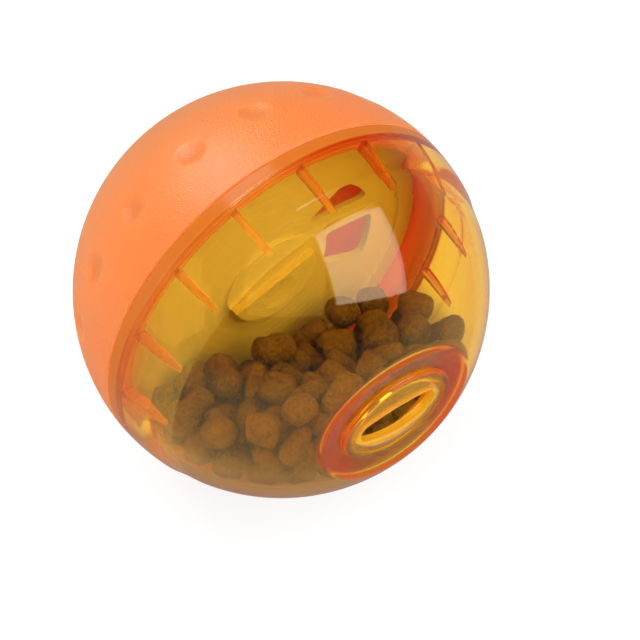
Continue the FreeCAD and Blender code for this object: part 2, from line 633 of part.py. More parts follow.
def bevelled_stick(first, second, radius, flatness):
    """Stick with flat sides and bevelled ends, inside the rounded piece that settled."""
    axis = second - first
    turn = Rotation(Vector(0, 0, 1), axis)
    middle = (first + second) / 2
    ends = [(axis.Length / 2 + past * radius, width * radius) for past, width in KIBBLE_PROFILE]
    rings = []
    for height, width in [(-height, width) for height, width in reversed(ends)] + ends:
        corners = [at_radius(width, side * 360.0 / KIBBLE_SIDES, height)
                   for side in range(KIBBLE_SIDES)]
        rings.append([middle + turn.multVec(Vector(corner.x, corner.y * flatness, corner.z))
                      for corner in corners])
    outlines = [rings[0], rings[-1]]
    for low, high in zip(rings, rings[1:]):
        for side in range(KIBBLE_SIDES):
            following = (side + 1) % KIBBLE_SIDES
            outlines.append([low[side], low[following], high[following], high[side]])
    faces = [Part.Face(Part.makePolygon(corners + corners[:1])) for corners in outlines]
    stick = Part.makeSolid(Part.makeShell(faces))
    if stick.Volume < 0:
        stick.reverse()
    return stick


def make_kibble():
    """Heap of dry kibble in the amber half, as separate pieces."""
    dice = random.Random(KIBBLE_SEED)
    middles, radii = settled_kibble()
    return Part.makeCompound([
        bevelled_stick(middles[2 * piece], middles[2 * piece + 1], radius,
                       dice.uniform(*KIBBLE_FLATNESS))
        for piece, radius in enumerate(radii)
    ])


def as_placed(shape):
    """Turn a piece so that the slot faces -Y, and set the ball on the floor at Z = 0."""
    shape.rotate(Vector(0, 0, 0), Vector(1, 0, 0), 90)
    shape.translate(Vector(0, 0, BELT_RADIUS))
    return shape


def main():
    """Build every piece and write one STEP file for each."""
    os.makedirs("parts", exist_ok=True)
    pieces = {
        "clear_half": make_clear_half,
        "opaque_half": make_opaque_half,
        "divider_disc": make_divider_disc,
        "dial": make_dial,
        "shutter": make_shutter,
        "kibble": make_kibble,
    }
    for name, make in pieces.items():
        shape = as_placed(make())
        box = shape.BoundBox
        print(name, "solids", len(shape.Solids), "valid", shape.isValid(),
              "volume %.1f" % shape.Volume,
              "box %.2f %.2f %.2f" % (box.XLength, box.YLength, box.ZLength))
        shape.exportStep("parts/%s.step" % name)


main()
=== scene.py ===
"""Looks of the treat ball: amber and orange shells, yellow divider, kibble, light and camera.

The shells are worked out in the ball's own coordinates, in millimetres: a
distance from the ball's axis, an angle from +X towards +Z round it, and a
height along it, which is 0 at the seam and positive towards the slot.
"""

import logging
import math
from dataclasses import dataclass
from enum import Enum
from typing import Optional, Sequence, Union

import bpy
import numpy as np
from mathutils import Matrix, Vector


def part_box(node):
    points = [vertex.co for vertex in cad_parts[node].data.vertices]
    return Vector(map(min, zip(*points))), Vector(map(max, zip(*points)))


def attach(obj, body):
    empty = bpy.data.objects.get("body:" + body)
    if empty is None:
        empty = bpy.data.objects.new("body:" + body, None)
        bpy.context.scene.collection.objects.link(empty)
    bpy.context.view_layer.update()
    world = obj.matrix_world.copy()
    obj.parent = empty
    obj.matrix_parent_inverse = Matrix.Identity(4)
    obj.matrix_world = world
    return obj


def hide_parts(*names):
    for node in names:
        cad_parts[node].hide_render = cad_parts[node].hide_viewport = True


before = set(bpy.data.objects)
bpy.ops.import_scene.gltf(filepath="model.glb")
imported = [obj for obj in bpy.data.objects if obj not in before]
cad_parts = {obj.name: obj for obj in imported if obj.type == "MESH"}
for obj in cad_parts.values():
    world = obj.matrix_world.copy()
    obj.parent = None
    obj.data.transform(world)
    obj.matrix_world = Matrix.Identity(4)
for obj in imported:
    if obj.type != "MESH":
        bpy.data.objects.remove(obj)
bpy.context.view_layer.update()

LOG = logging.getLogger("treat_ball")
MM = 0.001
CLEAR_LOW, CLEAR_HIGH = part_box("clear_half")
BALL_CENTRE = Vector((0.0, 0.0, (CLEAR_LOW.z + CLEAR_HIGH.z) / 2))
BELT_RADIUS = (CLEAR_HIGH.x - CLEAR_LOW.x) / 2 / MM
WHITE = (1.0, 1.0, 1.0, 1.0)
CIRCLE = 360.0                            # degrees

Array = np.ndarray
Colour = tuple[float, float, float]
Span = tuple[float, float]
Shares = tuple[tuple[str, float], ...]
Side = Union[float, Array]
Rows = list[tuple[Side, Side]]            # distances from the axis and heights along it


class Body(str, Enum):
    """Moving bodies of the ball that new pieces ride on."""

    CLEAR = "clear_body"
    OPAQUE = "opaque_body"


# Shader maths


class Wire:
    """One output socket of a material's nodes, with arithmetic on its value."""

    def __init__(self, board: "Board", socket: bpy.types.NodeSocket) -> None:
        """Keep the board that the socket's node stands on."""
        self.board = board
        self.socket = socket

    def __add__(self, other: "Term") -> "Wire":
        """This value plus another."""
        return self.board.math("ADD", self, other)

    __radd__ = __add__

    def __mul__(self, other: "Term") -> "Wire":
        """This value times another."""
        return self.board.math("MULTIPLY", self, other)

    __rmul__ = __mul__

    def __sub__(self, other: "Term") -> "Wire":
        """This value less another."""
        return self.board.math("SUBTRACT", self, other)

    def __rsub__(self, other: "Term") -> "Wire":
        """Another value less this one."""
        return self.board.math("SUBTRACT", other, self)

    def highest(self, other: "Term") -> "Wire":
        """The larger of this value and another."""
        return self.board.math("MAXIMUM", self, other)


Term = Union[float, Wire]


class Board:
    """Node tree of one material or of the world."""

    mix_sockets = (6, 7)                  # the two colours of a node that mixes colours

    def __init__(self, owner: Union[bpy.types.Material, bpy.types.World]) -> None:
        """Empty the owner's node tree.

        Args:
            owner: the material or the world.
        """
        owner.use_nodes = True
        self.tree = owner.node_tree
        self.tree.nodes.clear()

    def node(self, kind: str, settings: Optional[dict] = None,
             inputs: Optional[dict] = None, output: Union[int, str] = 0) -> Wire:
        """Add any node.

        Args:
            kind: the node's type.
            settings: its own settings, set first; stops are a ramp's places and colours.
            inputs: values or wires for its sockets, by name or number.
            output: the socket to return.

        Returns:
            The wire that leaves the node.
        """
        node = self.tree.nodes.new(kind)
        for name, value in (settings or {}).items():
            if name == "stops":
                self.set_stops(node.color_ramp, value)
            else:
                setattr(node, name, value)
        for name, value in (inputs or {}).items():
            socket = node.inputs[name]
            if isinstance(value, Wire):
                self.tree.links.new(value.socket, socket)
            else:
                socket.default_value = value
        return Wire(self, node.outputs[output])

    @staticmethod
    def set_stops(ramp: bpy.types.ColorRamp, stops: Sequence[tuple[float, Colour]]) -> None:
        """Give a colour ramp its stops.

        Args:
            ramp: the ramp of a Color Ramp node.
            stops: places from 0 to 1 and their colours.
        """
        while len(ramp.elements) < len(stops):
            ramp.elements.new(1.0)
        for element, (place, colour) in zip(ramp.elements, stops):
            element.position = place
            element.color = (*colour, 1.0)

    def math(self, operation: str, left: Term, right: Term) -> Wire:
        """Add one Math node on two values."""
        return self.node("ShaderNodeMath", {"operation": operation}, {0: left, 1: right})

    def noise(self, place: Wire, per_metre: float, detail: float = 2.0,
              roughness: float = 0.5) -> Wire:
        """Noise about 0.5 at a place, with its scale as features in a metre."""
        return self.node("ShaderNodeTexNoise", None, {
            "Vector": place, "Scale": per_metre, "Detail": detail, "Roughness": roughness})

    def place(self) -> Wire:
        """Position on the piece in its own coordinates."""
        return self.node("ShaderNodeTexCoord", output="Object")

    def ray(self, question: str) -> Wire:
        """What Light Path says of the ray that is being followed."""
        return self.node("ShaderNodeLightPath", output=question)

    def along_axis(self) -> tuple[Wire, Wire, Wire]:
        """Position in millimetres.

        Returns:
            The ball's X, the height along its axis, and Z from its centre.
        """
        split = self.node("ShaderNodeSeparateXYZ", None, {0: self.place()})
        sides = split.socket.node.outputs
        x, y, z = (Wire(self, sides[number]) * (1 / MM) for number in range(3))
        return x, 0.0 - y, z - BALL_CENTRE.z / MM

    def length(self, *sides: Wire) -> Wire:
        """Root of the sum of squares."""
        return self.math("SQRT", sum((side * side for side in sides), start=0.0), 0.0)

    def rise(self, value: Term, span: Span, base: float = 0.0) -> Wire:
        """Smooth step over a span of a value.

        Args:
            value: the value.
            span: where the step is 0 and where it is 1, which may be the lower.
            base: what both are counted from.

        Returns:
            The step, from 0 to 1.
        """
        start, end = base + span[0], base + span[1]
        at_low = 0.0 if start < end else 1.0
        return self.node("ShaderNodeMapRange", {"interpolation_type": "SMOOTHSTEP"}, {
            "Value": value, "From Min": min(start, end), "From Max": max(start, end),
            "To Min": at_low, "To Max": 1.0 - at_low})

    def mix(self, share: Term, first: Union[Colour, Wire], second: Union[Colour, Wire]) -> Wire:
        """Colour between two colours.

        Args:
            share: how much of the second there is.
            first: the colour at 0.
            second: the colour at 1.

        Returns:
            The mixed colour.
        """
        inputs = {"Factor": share}
        for socket, side in zip(self.mix_sockets, (first, second)):
            inputs[socket] = side if isinstance(side, Wire) else (*side, 1.0)
        return self.node("ShaderNodeMix", {"data_type": "RGBA"}, inputs, output=2)

    def bump(self, height: Wire, strength: float, distance: float) -> Wire:
        """Normal bent by a height, whose full range stands for a distance in metres."""
        return self.node("ShaderNodeBump", None, {
            "Height": height, "Strength": strength, "Distance": distance})

    def principled(self, inputs: dict) -> Wire:
        """Principled shader with these values or wires for its sockets."""
        return self.node("ShaderNodeBsdfPrincipled", None, inputs)

    def blend(self, share: Term, first: Wire, second: Wire) -> Wire:
        """Shader between two shaders."""
        return self.node("ShaderNodeMixShader", None, {0: share, 1: first, 2: second})

    def output(self, surface: Wire, volume: Optional[Wire] = None,
               kind: str = "ShaderNodeOutputMaterial") -> None:
        """Join what has been built to the tree's output.

        Args:
            surface: the shader of the surface, or of the world.
            volume: the shader of the inside, if there is one.
            kind: type of the output node.
        """
        node = self.tree.nodes.new(kind)
        self.tree.links.new(surface.socket, node.inputs["Surface"])
        if volume is not None:
            self.tree.links.new(volume.socket, node.inputs["Volume"])


def new_board(name: str) -> tuple[bpy.types.Material, Board]:
    """New material and its board."""
    material = bpy.data.materials.new(name)
    return material, Board(material)


@dataclass(frozen=True)
class AmberFinish:
    """Polished clear amber plastic that light reddens in as it goes deeper.

    Where light comes out after a long way through the wall, a share of the
    surface is painted light: a lamp-lit colour that stands in for that light.
    The shares and the colours of the painted light are listed with the masks
    that they hold in.
    """

    refraction: float = 1.5
    mirror: float = 0.32                  # 0.5 is what the refraction gives
    depth: float = 2.4                    # millimetres that give the tint below
    tint: Colour = (0.980, 0.84, 0.43)    # light left after that depth
    density_margin: float = 1.02          # over what the tint's blue needs
    skin: Colour = (0.99, 0.89, 0.46)     # light left by going in and out
    fin_skin: Colour = (0.95, 0.54, 0.20)
    dish_skin: Colour = (0.84, 0.34, 0.12)
    # Painted glow: emission colour that stands in for light that has wandered inside the wall
    painted_edge_glow: Colour = (0.72, 0.30, 0.02)   # light that has wandered inside the wall
    wandering: float = 1.5                # reflections after which it stands in
    polish: float = 0.01                  # roughness without haze
    haze: float = 0.03
    low_haze: float = 0.12
    scuffs_per_metre: float = 60.0

    # Shares of painted light over the masks
    painted_light_shares: Shares = (("fin", 0.26), ("mouth", 0.14), ("ring", 0.22), ("end", 0.10))   # added up
    at_least: Shares = (("throat", 0.45), ("zone", 0.12), ("belt", 0.34), ("seam", 0.70),
                        ("bore", 0.80))
    # Painted light: colours that stand in for the light that comes out of the wall
    painted_light: Colour = (0.66, 0.18, 0.018)   # outside the masks that follow
    painted_light_colours: tuple[tuple[str, Colour], ...] = (
        ("mouth", (0.90, 0.58, 0.03)), ("zone", (0.84, 0.52, 0.06)),
        ("rim", (0.55, 0.158, 0.018)), ("bore", (0.62, 0.085, 0.008)),
        ("ring", (0.40, 0.13, 0.015)), ("end", (0.60, 0.11, 0.025)))
    painted_light_mirror: float = 0.08
    painted_light_rough: float = 0.12
    seam_rough: float = 0.15              # added to it on the seam

    # Where a mask is 0 and where it is 1, in millimetres
    fin_stands: Span = (-0.1, -0.9)       # from the inner wall
    skin_starts: Span = (0.9, 1.9)        # from the inner wall
    fin_stops: Span = (0.6, -0.4)         # from the fins' ends
    seam_stops: Span = (-0.2, -0.8)       # this and the next three from the fins' start
    low_stops: Span = (0.8, -0.3)
    bore_starts: Span = (-0.4, 0.0)
    bore_stops: Span = (0.8, 0.4)
    zone_stops: Span = (0.1, -0.1)        # from the shoulder's end
    belt_stops: Span = (13.0, 8.0)        # along the axis
    pole_starts: Span = (36.0, 38.0)      # along the axis
    zone_side: Span = (14.0, -8.0)        # in X
    belt_side: Span = (-36.0, -48.0)      # in X
    end_side: Span = (7.0, 15.0)          # in X, to either side

    # The same in shares of an outline
    ring_starts: Span = (1.03, 0.97)      # of the dish's
    ring_stops: Span = (0.93, 1.02)       # of the bead's
    mouth_starts: Span = (0.98, 0.86)     # of the bead's
    throat_starts: Span = (1.25, 1.1)     # of the slot's

    def places(self, board: Board, shell: "ClearShell") -> dict[str, Wire]:
        """Masks of the places that the finish names.

        The fin mask is what stands nearer the centre than the inner wall
        does, below the fins' ends: the fins and the ridges. The ring is the
        dish between the bead's outline and its own, and its ends are far from
        the middle in X. The mouth is all that lies inside the bead's outline,
        and the throat all that lies close round the slot. The seam is the
        outer surface over the neck, and the zone is what follows it up to the
        shoulder's end, fading towards +X. The belt is the same surface's end
        at -X, the rim is the seam or the belt, and the bore's end is a narrow
        band inside the wall. Low is all that lies beside the neck.

        Args:
            board: the material's board.
            shell: the half that wears the finish.

        Returns:
            The masks by name.
        """
        x, along, z = board.along_axis()
        inner = shell.radius - shell.wall
        out = board.length(x, along, z)
        dish, bead, slot = (board.length(x * (1 / length), z * (1 / width)) for length, width in (
            (shell.dish_half_length, shell.dish_half_width),
            (shell.bead.half_length, shell.bead.half_width),
            (shell.slot.half_length, shell.slot.half_width)))
        outer = board.rise(out, self.skin_starts, inner)
        pole = board.rise(along, self.pole_starts)
        ring = board.rise(dish, self.ring_starts) * board.rise(bead, self.ring_stops) * pole
        seam = outer * board.rise(along, self.seam_stops, shell.fin_start)
        belt = outer * board.rise(x, self.belt_side) * board.rise(along, self.belt_stops)
        return {
            "fin": board.rise(out, self.fin_stands, inner)
                   * board.rise(along, self.fin_stops, shell.fin_end),
            "ring": ring,
            "end": ring * board.rise(board.math("ABSOLUTE", x, 0.0), self.end_side),
            "mouth": board.rise(bead, self.mouth_starts) * pole,
            "throat": board.rise(slot, self.throat_starts) * pole,
            "seam": seam,
            "belt": belt,
            "rim": seam.highest(belt),
            "zone": outer * board.rise(x, self.zone_side)
                    * board.rise(along, self.zone_stops, shell.shoulder_end),
            "bore": (1.0 - outer) * board.rise(along, self.bore_starts, shell.fin_start)
                    * board.rise(along, self.bore_stops, shell.fin_start),
            "low": board.rise(along, self.low_stops, shell.fin_start),
        }

    def absorption(self, board: Board) -> Wire:
        """Volume that leaves the tint after the depth.

        What the volume takes of a colour in a metre is minus the logarithm of
        its tint over the depth, and its colour part is 1 less that over the
        density.

        Args:
            board: the material's board.

        Returns:
            The volume's shader.
        """
        taken = [-math.log(left) / (self.depth * MM) for left in self.tint]
        density = max(taken) * self.density_margin
        return board.node("ShaderNodeVolumeAbsorption", None, {
            "Color": (*(1.0 - part / density for part in taken), 1.0), "Density": density})

    def material(self, shell: "ClearShell") -> bpy.types.Material:
        """Glass for all rays but those to the lamps, with absorption inside.

        A ray that has been mirrored more than once inside the wall ends in a
        painted glow: an emission that stands in for the light such rays give
        the plastic's edges.

        Args:
            shell: the half that wears the finish.

        Returns:
            The material.
        """
        material, board = new_board("amber_clear")
        masks = self.places(board, shell)
        scuffs = board.noise(board.place(), self.scuffs_per_metre, detail=4.0, roughness=0.6)
        skin = board.mix(masks["fin"].highest(masks["low"]), self.skin, self.fin_skin)
        glass = board.principled({
            "Base Color": board.mix(masks["end"], skin, self.dish_skin),
            "Roughness": scuffs * self.haze + masks["low"] * self.low_haze + self.polish,
            "IOR": self.refraction,
            "Specular IOR Level": self.mirror,
            "Transmission Weight": 1.0,
        })
        # Painted light: a lamp-lit colour over the glass stands in for the light that comes out
        # after a long way through the wall
        share = sum((masks[name] * part for name, part in self.painted_light_shares), start=0.0)
        for name, part in self.at_least:
            share = share.highest(masks[name] * part)
        colour = self.painted_light
        for name, painted_light in self.painted_light_colours:
            colour = board.mix(masks[name], colour, painted_light)
        painted_light_surface = board.principled({
            "Base Color": colour,
            "Roughness": masks["seam"] * self.seam_rough + self.painted_light_rough,
            "IOR": self.refraction,
            "Specular IOR Level": self.painted_light_mirror,
        })
        # Painted glow for the rays that are trapped inside the wall
        glow = board.node("ShaderNodeEmission", None, {"Color": (*self.painted_edge_glow, 1.0)})
        trapped = board.math("GREATER_THAN", board.ray("Glossy Depth"), self.wandering)
        body = board.blend(trapped, board.blend(share, glass, painted_light_surface), glow)
        clear = board.node("ShaderNodeBsdfTransparent", None, {"Color": WHITE})
        surface = board.blend(board.ray("Is Shadow Ray"), body, clear)
        board.output(surface, self.absorption(board))
        return material


@dataclass(frozen=True)
class OrangeFinish:
    """Satin orange plastic with the fine pebbled grain of its mould."""

    colour: Colour = (0.95, 0.205, 0.045)
    deep: Colour = (0.92, 0.170, 0.035)
    patches_per_metre: float = 25.0
    gloss_low: float = 0.30
    gloss_range: float = 0.16
    grain_per_metre: float = 1900.0
    grain_round: float = 0.6
    grain_strength: float = 0.55
    grain_height: float = 0.00018         # metres
    rough_share: float = 0.6              # of the grain's scale, and of its height
    inner_light: float = 0.8              # share of the light that enters the wall
    light_spread: Colour = (1.0, 0.45, 0.2)
    light_reach: float = 0.035            # metres

    def material(self) -> bpy.types.Material:
        """Two close oranges, a pebbled bump and a little light inside the wall.

        Returns:
            The material.
        """
        material, board = new_board("orange_satin")
        place = board.place()
        patches = board.noise(place, self.patches_per_metre, detail=3.0)
        pebbles = board.node("ShaderNodeTexVoronoi", {"feature": "SMOOTH_F1"}, {
            "Vector": place, "Scale": self.grain_per_metre, "Smoothness": self.grain_round})
        rough = board.noise(place, self.grain_per_metre * self.rough_share,
                            detail=3.0, roughness=0.6)
        board.output(board.principled({
            "Base Color": board.mix(patches, self.colour, self.deep),
            "Roughness": rough * self.gloss_range + self.gloss_low,
            "Subsurface Weight": self.inner_light,
            "Subsurface Radius": self.light_spread,
            "Subsurface Scale": self.light_reach,
            "Normal": board.bump(pebbles + rough * self.rough_share, self.grain_strength,
                                 self.grain_height),
        }))
        return material


@dataclass(frozen=True)
class YellowFinish:
    """Plain yellow moulded plastic with faint turning rings and flow marks."""

    name: str = "yellow_plastic"
    colour: Colour = (0.93, 0.79, 0.42)
    shade: Colour = (0.89, 0.73, 0.35)
    patches_per_metre: float = 40.0
    gloss: float = 0.32
    gloss_range: float = 0.12
    grain_per_metre: float = 2500.0
    rings_per_metre: float = 420.0
    ring_shift: float = 6.0               # radians that the patches shift a ring by
    grain_share: float = 0.5              # height of the grain, of the rings'
    patch_share: float = 4.0
    bump_strength: float = 0.35
    bump_height: float = 0.00006          # metres

    def material(self) -> bpy.types.Material:
        """Two close yellows in slow patches, with rings round the ball's axis in its bump.

        Returns:
            The material.
        """
        material, board = new_board(self.name)
        place = board.place()
        patches = board.noise(place, self.patches_per_metre)
        grain = board.noise(place, self.grain_per_metre)
        x, _, z = board.along_axis()
        turned = board.length(x, z) * (MM * self.rings_per_metre * 2 * math.pi)
        rings = board.math("SINE", turned + patches * self.ring_shift, 0.0)
        height = rings + grain * self.grain_share + patches * self.patch_share
        board.output(board.principled({
            "Base Color": board.mix(patches, self.colour, self.shade),
            "Roughness": grain * self.gloss_range + (self.gloss - self.gloss_range / 2),
            "Normal": board.bump(height, self.bump_strength, self.bump_height),
        }))
        return material


@dataclass(frozen=True)
class KibbleFinish:
    """Baked kibble: a dry brown crust with darker pores and pale crumbs."""

    toasted: Colour = (0.16, 0.088, 0.021)
    crust: Colour = (0.43, 0.240, 0.050)
    crumb: Colour = (0.50, 0.31, 0.09)
    stops: tuple[float, float, float] = (0.36, 0.56, 0.78)    # places of those in the pattern
    patches_per_metre: float = 90.0
    crumbs_per_metre: float = 1100.0
    pores_per_metre: float = 600.0
    patch_share: float = 0.55             # of the pattern, with crumbs for the rest
    rough_low: float = 0.62
    rough_range: float = 0.2
    crumb_height: float = 1.6             # of the pores' height
    bump_height: float = 0.0014           # metres

    def material(self) -> bpy.types.Material:
        """Browns in patches, fine crumbs on top, and a coarse bump.

        Returns:
            The material.
        """
        material, board = new_board("baked_kibble")
        place = board.place()
        patches = board.noise(place, self.patches_per_metre, detail=3.0, roughness=0.55)
        crumbs = board.noise(place, self.crumbs_per_metre, detail=4.0, roughness=0.7)
        pores = board.node("ShaderNodeTexVoronoi", {"feature": "F1"}, {
            "Vector": place, "Scale": self.pores_per_metre})
        browns = list(zip(self.stops, (self.toasted, self.crust, self.crumb)))
        pattern = patches * self.patch_share + crumbs * (1.0 - self.patch_share)
        board.output(board.principled({
            "Base Color": board.node("ShaderNodeValToRGB", {"stops": browns}, {"Fac": pattern}),
            "Roughness": crumbs * self.rough_range + self.rough_low,
            "Normal": board.bump(crumbs * self.crumb_height + pores, 1.0, self.bump_height),
        }))
        return material


# Surfaces


def placed(across: Array, angle: Array, along: Array) -> Array:
    """Row-frame points in metres from ball coordinates in millimetres.

    x is the distance from the axis times the angle's cosine, z is the centre's
    height plus the distance times its sine, and y is minus the height along
    the axis.

    Args:
        across: distances from the ball's axis.
        angle: angles round it, in radians.
        along: heights along it from the seam, positive towards the slot.

    Returns:
        Points with x, y and z in the last place.
    """
    across, angle, along = np.broadcast_arrays(across, angle, along)
    points = np.stack([across * np.cos(angle), -along, across * np.sin(angle)], axis=-1)
    return points * MM + np.array(BALL_CENTRE)


def stacked(rows: Rows, columns: int) -> tuple[Array, Array]:
    """All rows of a surface, each made as wide as the piece has columns.

    Args:
        rows: distances and heights, as numbers, as one row or as several.
        columns: how many columns there are.

    Returns:
        The distances and the heights.
    """
    whole = np.ones((1, columns))
    across, along = ([whole * side for side in sides] for sides in zip(*rows))
    return np.vstack(across), np.vstack(along)


def linked(name: str, data: bpy.types.ID) -> bpy.types.Object:
    """New object in the scene.

    Args:
        name: its name.
        data: its mesh, lamp or camera.

    Returns:
        The object.
    """
    holder = bpy.data.objects.new(name, data)
    bpy.context.scene.collection.objects.link(holder)
    return holder


def ring_mesh(name: str, points: Array, poles: Optional[Array] = None,
              crease: float = 32.0) -> bpy.types.Object:
    """Closed mesh from rows of points that each go once round.

    Without poles the last row joins the first, and with them a fan closes
    each end. Faces are turned so that they point out of the solid, and edges
    that bend by more than the crease angle are shaded sharp.

    Args:
        name: the piece's name.
        points: rows by columns by three.
        poles: the first and the last pole, or None.
        crease: angle in degrees.

    Returns:
        The new object, linked to the scene.
    """
    rows, columns = points.shape[:2]
    index = np.arange(rows * columns).reshape(rows, columns)
    following = np.roll(index, -1, axis=1)
    quads = np.stack([index, following, np.roll(following, -1, axis=0),
                      np.roll(index, -1, axis=0)], axis=-1)
    vertices = points.reshape(-1, 3)
    triangles = np.empty((0, 3), int)
    if poles is not None:
        quads = quads[:-1]
        vertices = np.vstack([vertices, poles])
        tips = np.full((2, columns), rows * columns) + [[0], [1]]
        triangles = np.vstack([np.stack([tips[0], following[0], index[0]], axis=-1),
                               np.stack([tips[1], index[-1], following[-1]], axis=-1)])
    quads = quads.reshape(-1, 4)
    halves = np.vstack([quads[:, :3], quads[:, [0, 2, 3]], triangles])
    first, second, third = (vertices[halves[:, corner]] for corner in range(3))
    faces = quads.tolist() + triangles.tolist()
    if np.einsum("ij,ij->", first, np.cross(second, third)) < 0:
        faces = [face[::-1] for face in faces]
    mesh = bpy.data.meshes.new(name)
    mesh.from_pydata(vertices, [], faces)
    mesh.shade_smooth()
    mesh.set_sharp_from_angle(angle=math.radians(crease))
    return linked(name, mesh)


def dress(piece: bpy.types.Object, material: bpy.types.Material) -> bpy.types.Object:
    """Give a piece one material in all its slots.

    Args:
        piece: the piece.
        material: what it is to wear.

    Returns:
        The same piece.
    """
    if not piece.data.materials:
        piece.data.materials.append(material)
    for slot in piece.material_slots:
        slot.material = material
    return piece


def ease_low(first: Array, second: Array, blend: float) -> Array:
    """Smaller of two heights, rounded over a blend width where they meet."""
    share = np.clip(0.5 + (second - first) / (2 * blend), 0.0, 1.0)
    return second + (first - second) * share - blend * share * (1 - share)


def steps(start: float, end: float, count: int) -> Array:
    """Evenly spaced values as a column."""
    return np.linspace(start, end, count)[:, None]


def between(first: Side, second: Side, count: int) -> Array:
    """Rows that pass evenly from one to another, without the first."""
    share = steps(0.0, 1.0, count + 1)[1:]
    return first * (1 - share) + second * share


def sphere_height(radius: float, across: Array) -> Array:
    """Height of a sphere round the ball's centre at a distance from the axis."""
    return np.sqrt(np.maximum(radius ** 2 - across ** 2, 0.0))


def arc_radius(half_chord: float, rise: float) -> float:
    """Radius of an arc: the squares of its half chord and its rise, over twice the rise."""
    return (half_chord ** 2 + rise ** 2) / (2 * rise)


def from_nearest(angle: Array, first: float, count: int, whole: float = CIRCLE) -> Array:
    """Angle from the nearest of several places that are evenly spaced in a whole turn."""
    pitch = whole / count
    return np.mod(angle - first + pitch / 2, pitch) - pitch / 2


@dataclass(frozen=True)
class Oval:
    """Outline of two long side arcs and two end arcs, round the ball's axis."""

    half_length: float
    half_width: float
    end_radius: float

    def inset(self, by: float) -> "Oval":
        """Outline that runs inside this one at an even distance."""
        return Oval(self.half_length - by, self.half_width - by, self.end_radius - by)

    def reach(self, angle: Array) -> Array:
        """Distance from the axis to the outline in each direction.

        It is the farther crossing of the ray with the end arc's circle or with
        the side arc's circle, whichever arc the direction points at.

        Args:
            angle: directions in radians.

        Returns:
            The distances.
        """
        end_centre = self.half_length - self.end_radius
        rise = self.half_width - self.end_radius
        side_radius = (end_centre ** 2 + self.half_width ** 2 - self.end_radius ** 2) / (2 * rise)
        side_centre = side_radius - self.half_width
        lean = math.atan2(end_centre, side_centre)
        corner = math.atan2(side_radius * math.cos(lean) - side_centre,
                            side_radius * math.sin(lean))
        cosine, sine = np.abs(np.cos(angle)), np.abs(np.sin(angle))
        end = end_centre * cosine + np.sqrt(
            np.maximum(self.end_radius ** 2 - (end_centre * sine) ** 2, 0.0))
        side = np.sqrt(side_radius ** 2 - (side_centre * cosine) ** 2) - side_centre * sine
        return np.where(sine < math.sin(corner), end, side)


@dataclass(frozen=True)
class Crown:
    """Face curved both ways: an arc along X turned about an axis along X."""

    half_length: float
    half_width: float
    rise: float
    top: float
    hollow: bool = False

    def height(self, across: Array, angle: Array, grow: float = 0.0) -> Array:
        """Height of the face.

        The fall of the long arc is its radius less the root of its square less
        x squared. The turned face stands at the width radius less that fall.

        Args:
            across: distances from the axis.
            angle: angles round it, in radians.
            grow: how far the face is moved outwards.

        Returns:
            The heights along the axis.
        """
        length_radius = arc_radius(self.half_length, self.rise) + grow
        width_radius = arc_radius(self.half_width, self.rise) + grow
        side = -1 if self.hollow else 1
        x, z = across * np.cos(angle), across * np.sin(angle)
        fall = length_radius - np.sqrt(length_radius ** 2 - x ** 2)
        turned = np.sqrt((width_radius - fall) ** 2 - z ** 2)
        return self.top + side * (grow - width_radius + turned)


@dataclass(frozen=True)
class Thread:
    """Three short helical ridges on each half."""

    starts: int = 3
    lead: float = 6.0
    span: float = 110.0
    root: float = 1.0
    crest: float = 0.55
    height: float = 0.85
    start_height: float = 0.65
    axial_step: float = 0.9

    def relief(self, angle: Array, along: Array, on_neck: bool) -> Array:
        """How far the ridges stand from the wall.

        A ridge's middle climbs by the lead in a full turn. Its section is a
        trapezoid: full height over the crest's width, none past the root's.

        Args:
            angle: angles round the axis, in radians.
            along: heights along it, as a column.
            on_neck: true for the neck's ridges, false for the bore's.

        Returns:
            The relief in rows and columns.
        """
        turn = np.degrees(angle) + (self.axial_step * CIRCLE / self.lead if on_neck else 0.0)
        gone = np.mod(turn, CIRCLE / self.starts)
        middle = self.start_height + gone * self.lead / CIRCLE
        off = np.abs(along - middle)
        flank = np.clip((self.root / 2 - off) / ((self.root - self.crest) / 2), 0.0, 1.0)
        return self.height * flank * (gone <= self.span)


